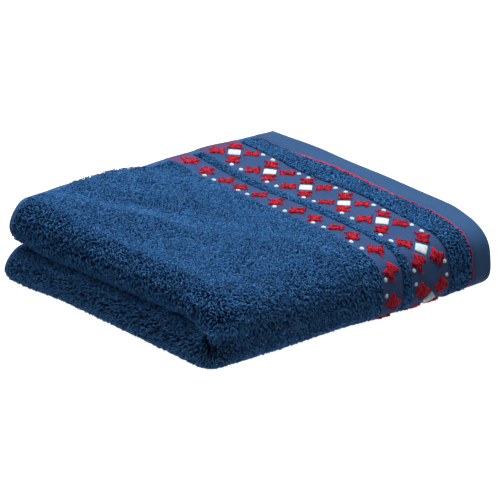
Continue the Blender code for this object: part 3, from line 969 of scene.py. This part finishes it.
def red_line_piece(material):
    """The red line woven beside the hem."""
    across = np.linspace(-HALF_WIDTH + EDGE_MARGIN, HALF_WIDTH - EDGE_MARGIN, RED_LINE_STEPS)
    across, share = np.meshgrid(across, np.linspace(-1, 1, RED_LINE_COLUMNS), indexing="ij")
    wave = {name: amount * np.cos(2 * math.pi * across / pitch)
            for name, (amount, pitch) in RED_LINE_WAVES.items()}
    places, halves = np.array(RED_LINE_HALVES) * MM
    half = np.interp(across, places, halves) * (1 + wave["width"])
    along = RED_LINE_AT + share * half + wave["way"]
    out = HEM / 2 - RED_LINE_SUNK + RED_LINE_RISE * (1 - share ** 2) + wave["height"]
    points = cloth(along, across, out).reshape(-1, 3)
    return new_piece("red_line", points, grid_quads(*along.shape), [material])


# ---- Materials ----

def feed(tree, socket, value):
    """Gives a socket another one's value, three numbers as a colour, or one number."""
    if isinstance(value, bpy.types.NodeSocket):
        tree.links.new(value, socket)
    elif isinstance(value, tuple):
        socket.default_value = (*value, 1.0)
    else:
        socket.default_value = value


def node(tree, kind, **settings):
    """A new node with its settings; names of inputs are given with spaces as underscores."""
    made = tree.nodes.new(kind)
    for name, value in settings.items():
        if hasattr(made, name):
            setattr(made, name, value)
        else:
            feed(tree, made.inputs[name.replace("_", " ")], value)
    return made


def calculated(tree, operation, first, second=0.0):
    """A sum, product or the like of sockets or numbers."""
    made = node(tree, "ShaderNodeMath", operation=operation)
    feed(tree, made.inputs[0], first)
    feed(tree, made.inputs[1], second)
    return made.outputs["Value"]


def mixed(tree, factor, first, second):
    """A mix of two colours."""
    mix = node(tree, "ShaderNodeMix", data_type="RGBA", Factor=factor)
    feed(tree, mix.inputs[6], first)
    feed(tree, mix.inputs[7], second)
    return mix.outputs[2]


def spread(tree, value, low, high):
    """A value carried from low..high to 0..1."""
    return node(tree, "ShaderNodeMapRange", Value=value, From_Min=low, From_Max=high).outputs["Result"]


def own_place(tree):
    """A point's place on the object, in metres."""
    return tree.nodes.new("ShaderNodeTexCoord").outputs["Object"]


def noise(tree, scale, detail=2.0, vector=None):
    """A noise texture's value."""
    vector = vector or own_place(tree)
    return node(tree, "ShaderNodeTexNoise", Scale=scale, Detail=detail, Vector=vector).outputs["Fac"]


def cloth_material(name, kind):
    """A cloth material with the shine of its kind, and its tree."""
    material = bpy.data.materials.new(name)
    material.use_nodes = True
    shader = material.node_tree.nodes["Principled BSDF"]
    shader.inputs["Roughness"].default_value = FINISHES[kind][0]
    shader.inputs["Sheen Weight"].default_value = FINISHES[kind][1]
    shader.inputs["Sheen Roughness"].default_value = SHEEN_ROUGHNESS
    shader.inputs["Specular IOR Level"].default_value = SPECULAR
    return material, material.node_tree


def coloured(tree, colour, kind, height):
    """Links a colour, and a height as the bump of its kind."""
    shader = tree.nodes["Principled BSDF"]
    _, _, distance, strength = FINISHES[kind]
    bump = node(tree, "ShaderNodeBump", Strength=strength, Distance=distance, Height=height)
    feed(tree, shader.inputs["Base Color"], colour)
    feed(tree, shader.inputs["Normal"], bump.outputs["Normal"])


def yarn_material(name, dark, light, root):
    """Loops: painted shade darkens them towards the foot, and they are uneven from loop to loop."""
    material, tree = cloth_material(name, "yarn")
    shade = node(tree, "ShaderNodeAttribute", attribute_name="shade").outputs["Fac"]
    tip = node(tree, "ShaderNodeAttribute", attribute_name="tip").outputs["Fac"]
    # The root colour is painted shade at each loop's foot.
    colour = mixed(tree, spread(tree, tip, *PAINTED_FOOT_SHADE), root, mixed(tree, shade, dark, light))
    coloured(tree, colour, "yarn", noise(tree, FIBRES))
    return material


def terry_material(name, dark, light):
    """Terry without modelled loops; the hollows between its cells are painted darker, as painted shade."""
    material, tree = cloth_material(name, "terry")
    cells = node(tree, "ShaderNodeTexVoronoi", Scale=TERRY_CELLS, Vector=own_place(tree))
    raised = spread(tree, cells.outputs["Distance"], *CELL_RAISED)
    # Darker where the cells are low: painted shade in their hollows.
    coloured(tree, mixed(tree, raised, dark, light), "terry", raised)
    return material


def weave_material(name, dark, light, tint=None, flecks_from=0.0):
    """Plain weave, with flecks of a tint where one is given."""
    material, tree = cloth_material(name, "weave")
    uv = node(tree, "ShaderNodeUVMap", uv_map="Cloth").outputs["UV"]
    split = node(tree, "ShaderNodeSeparateXYZ", Vector=uv)
    phases = [calculated(tree, "MULTIPLY", split.outputs[way], 2 * math.pi / WEAVE_PITCH) for way in "XY"]
    waves = [calculated(tree, "SINE", phase) for phase in phases]
    height = spread(tree, calculated(tree, "MULTIPLY", *waves), -1.0, 1.0)
    colour = mixed(tree, height, dark, light)
    if tint:
        flecks = spread(tree, noise(tree, FLECKS, 3.0, uv), flecks_from, flecks_from + FLECK_EDGE)
        colour = mixed(tree, flecks, colour, tint)
    coloured(tree, colour, "weave", height)
    return material


def thread_material(name, dark, light):
    """Thick coloured yarn of the motifs."""
    material, tree = cloth_material(name, "thread")
    fine = spread(tree, noise(tree, THREADS, 3.0), *THREAD_LIGHT)
    coloured(tree, mixed(tree, fine, dark, light), "thread", noise(tree, THREAD_FIBRES))
    return material


def sheet_materials():
    """In the order of KINDS."""
    return [
        # The ground under the loops is painted nearly black, as painted shade between them.
        terry_material("terry_ground", *COLOURS["ground"]),
        terry_material("terry_pressed", *COLOURS["pressed"]),
        weave_material("hem_weave", *COLOURS["hem"]),
        weave_material("band_weave", *COLOURS["band"], FLECKS_FROM["band"]),
        weave_material("band_side_weave", *COLOURS["side of the band"], FLECKS_FROM["side of the band"]),
        weave_material("selvedge_weave", *COLOURS["selvedge"]),
    ]


# ---- Stage ----

def make_floor():
    """A plain white floor.  It glows a little and throws no light back, like a table of lit glass."""
    mesh = bpy.data.meshes.new("floor")
    half = FLOOR_HALF
    corners = [(-half, -half, 0), (half, -half, 0), (half, half, 0), (-half, half, 0)]
    mesh.from_pydata(corners, [], [(0, 1, 2, 3)])
    material = bpy.data.materials.new("floor_white")
    material.use_nodes = True
    shader = material.node_tree.nodes["Principled BSDF"]
    shader.inputs["Base Color"].default_value = (FLOOR_WHITE, FLOOR_WHITE, FLOOR_WHITE, 1)
    shader.inputs["Roughness"].default_value = 0.9
    shader.inputs["Emission Color"].default_value = (1, 1, 1, 1)
    shader.inputs["Emission Strength"].default_value = FLOOR_GLOW
    mesh.materials.append(material)
    floor = bpy.data.objects.new("floor", mesh)
    floor.visible_diffuse = False
    floor.visible_shadow = False
    bpy.context.scene.collection.objects.link(floor)


def lobe(tree, direction, towards, strength, sharpness):
    """Light that is strongest from one direction and fades round it."""
    dot = node(tree, "ShaderNodeVectorMath", operation="DOT_PRODUCT")
    dot.inputs[1].default_value = Vector(towards).normalized()
    tree.links.new(direction, dot.inputs[0])
    facing = calculated(tree, "MAXIMUM", dot.outputs["Value"], 0.0)
    return calculated(tree, "MULTIPLY", calculated(tree, "POWER", facing, sharpness), strength)


def make_world():
    """Soft light from above, a glow from below, and a little from above the noses."""
    world = bpy.data.worlds.new("surrounding")
    world.use_nodes = True
    tree = world.node_tree
    direction = tree.nodes.new("ShaderNodeTexCoord").outputs["Generated"]
    total = 0.0
    for light in LIGHTS:
        total = calculated(tree, "ADD", total, lobe(tree, direction, *light))
    background = tree.nodes["Background"]
    background.inputs["Color"].default_value = (1, 1, 1, 1)
    tree.links.new(total, background.inputs["Strength"])
    bpy.context.scene.world = world
    bpy.context.scene.view_settings.view_transform = "Standard"


def make_camera(target):
    """The photo's viewpoint."""
    azimuth, elevation = math.radians(CAMERA_AZIMUTH), math.radians(CAMERA_ELEVATION)
    back = Vector((math.sin(azimuth) * math.cos(elevation), -math.cos(azimuth) * math.cos(elevation),
                   math.sin(elevation)))
    right = Vector((math.cos(azimuth), math.sin(azimuth), 0.0))
    up = back.cross(right)
    data = bpy.data.cameras.new("camera")
    data.lens = CAMERA_LENS
    data.sensor_width = 36.0
    data.clip_start = 0.1
    data.clip_end = 30.0
    camera = bpy.data.objects.new("camera", data)
    camera.matrix_world = Matrix.Translation(
        target + back * CAMERA_DISTANCE + right * CAMERA_RIGHT + up * CAMERA_UP
    ) @ Matrix((right, up, back)).transposed().to_4x4()
    bpy.context.scene.collection.objects.link(camera)
    bpy.context.scene.camera = camera


def main():
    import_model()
    cad_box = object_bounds()
    stand_in_place()
    make_floor()
    make_world()
    make_camera((cad_box[0] + cad_box[1]) / 2)
    sheet = sheet_piece(sheet_materials())
    yarn = yarn_material("loop_yarn", *COLOURS["loops"])
    red = thread_material("red_yarn", *COLOURS["red yarn"])
    white = thread_material("white_yarn", *COLOURS["white yarn"])
    red_loops = yarn_material("red_loops", *COLOURS["red loops"])
    extras = looped_pieces(yarn) + border_pieces(red, white)
    extras += [red_line_piece(red), bow_loops_piece(red_loops)]
    for piece in [sheet] + extras:
        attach(piece, "root")
    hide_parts("towel")


main()
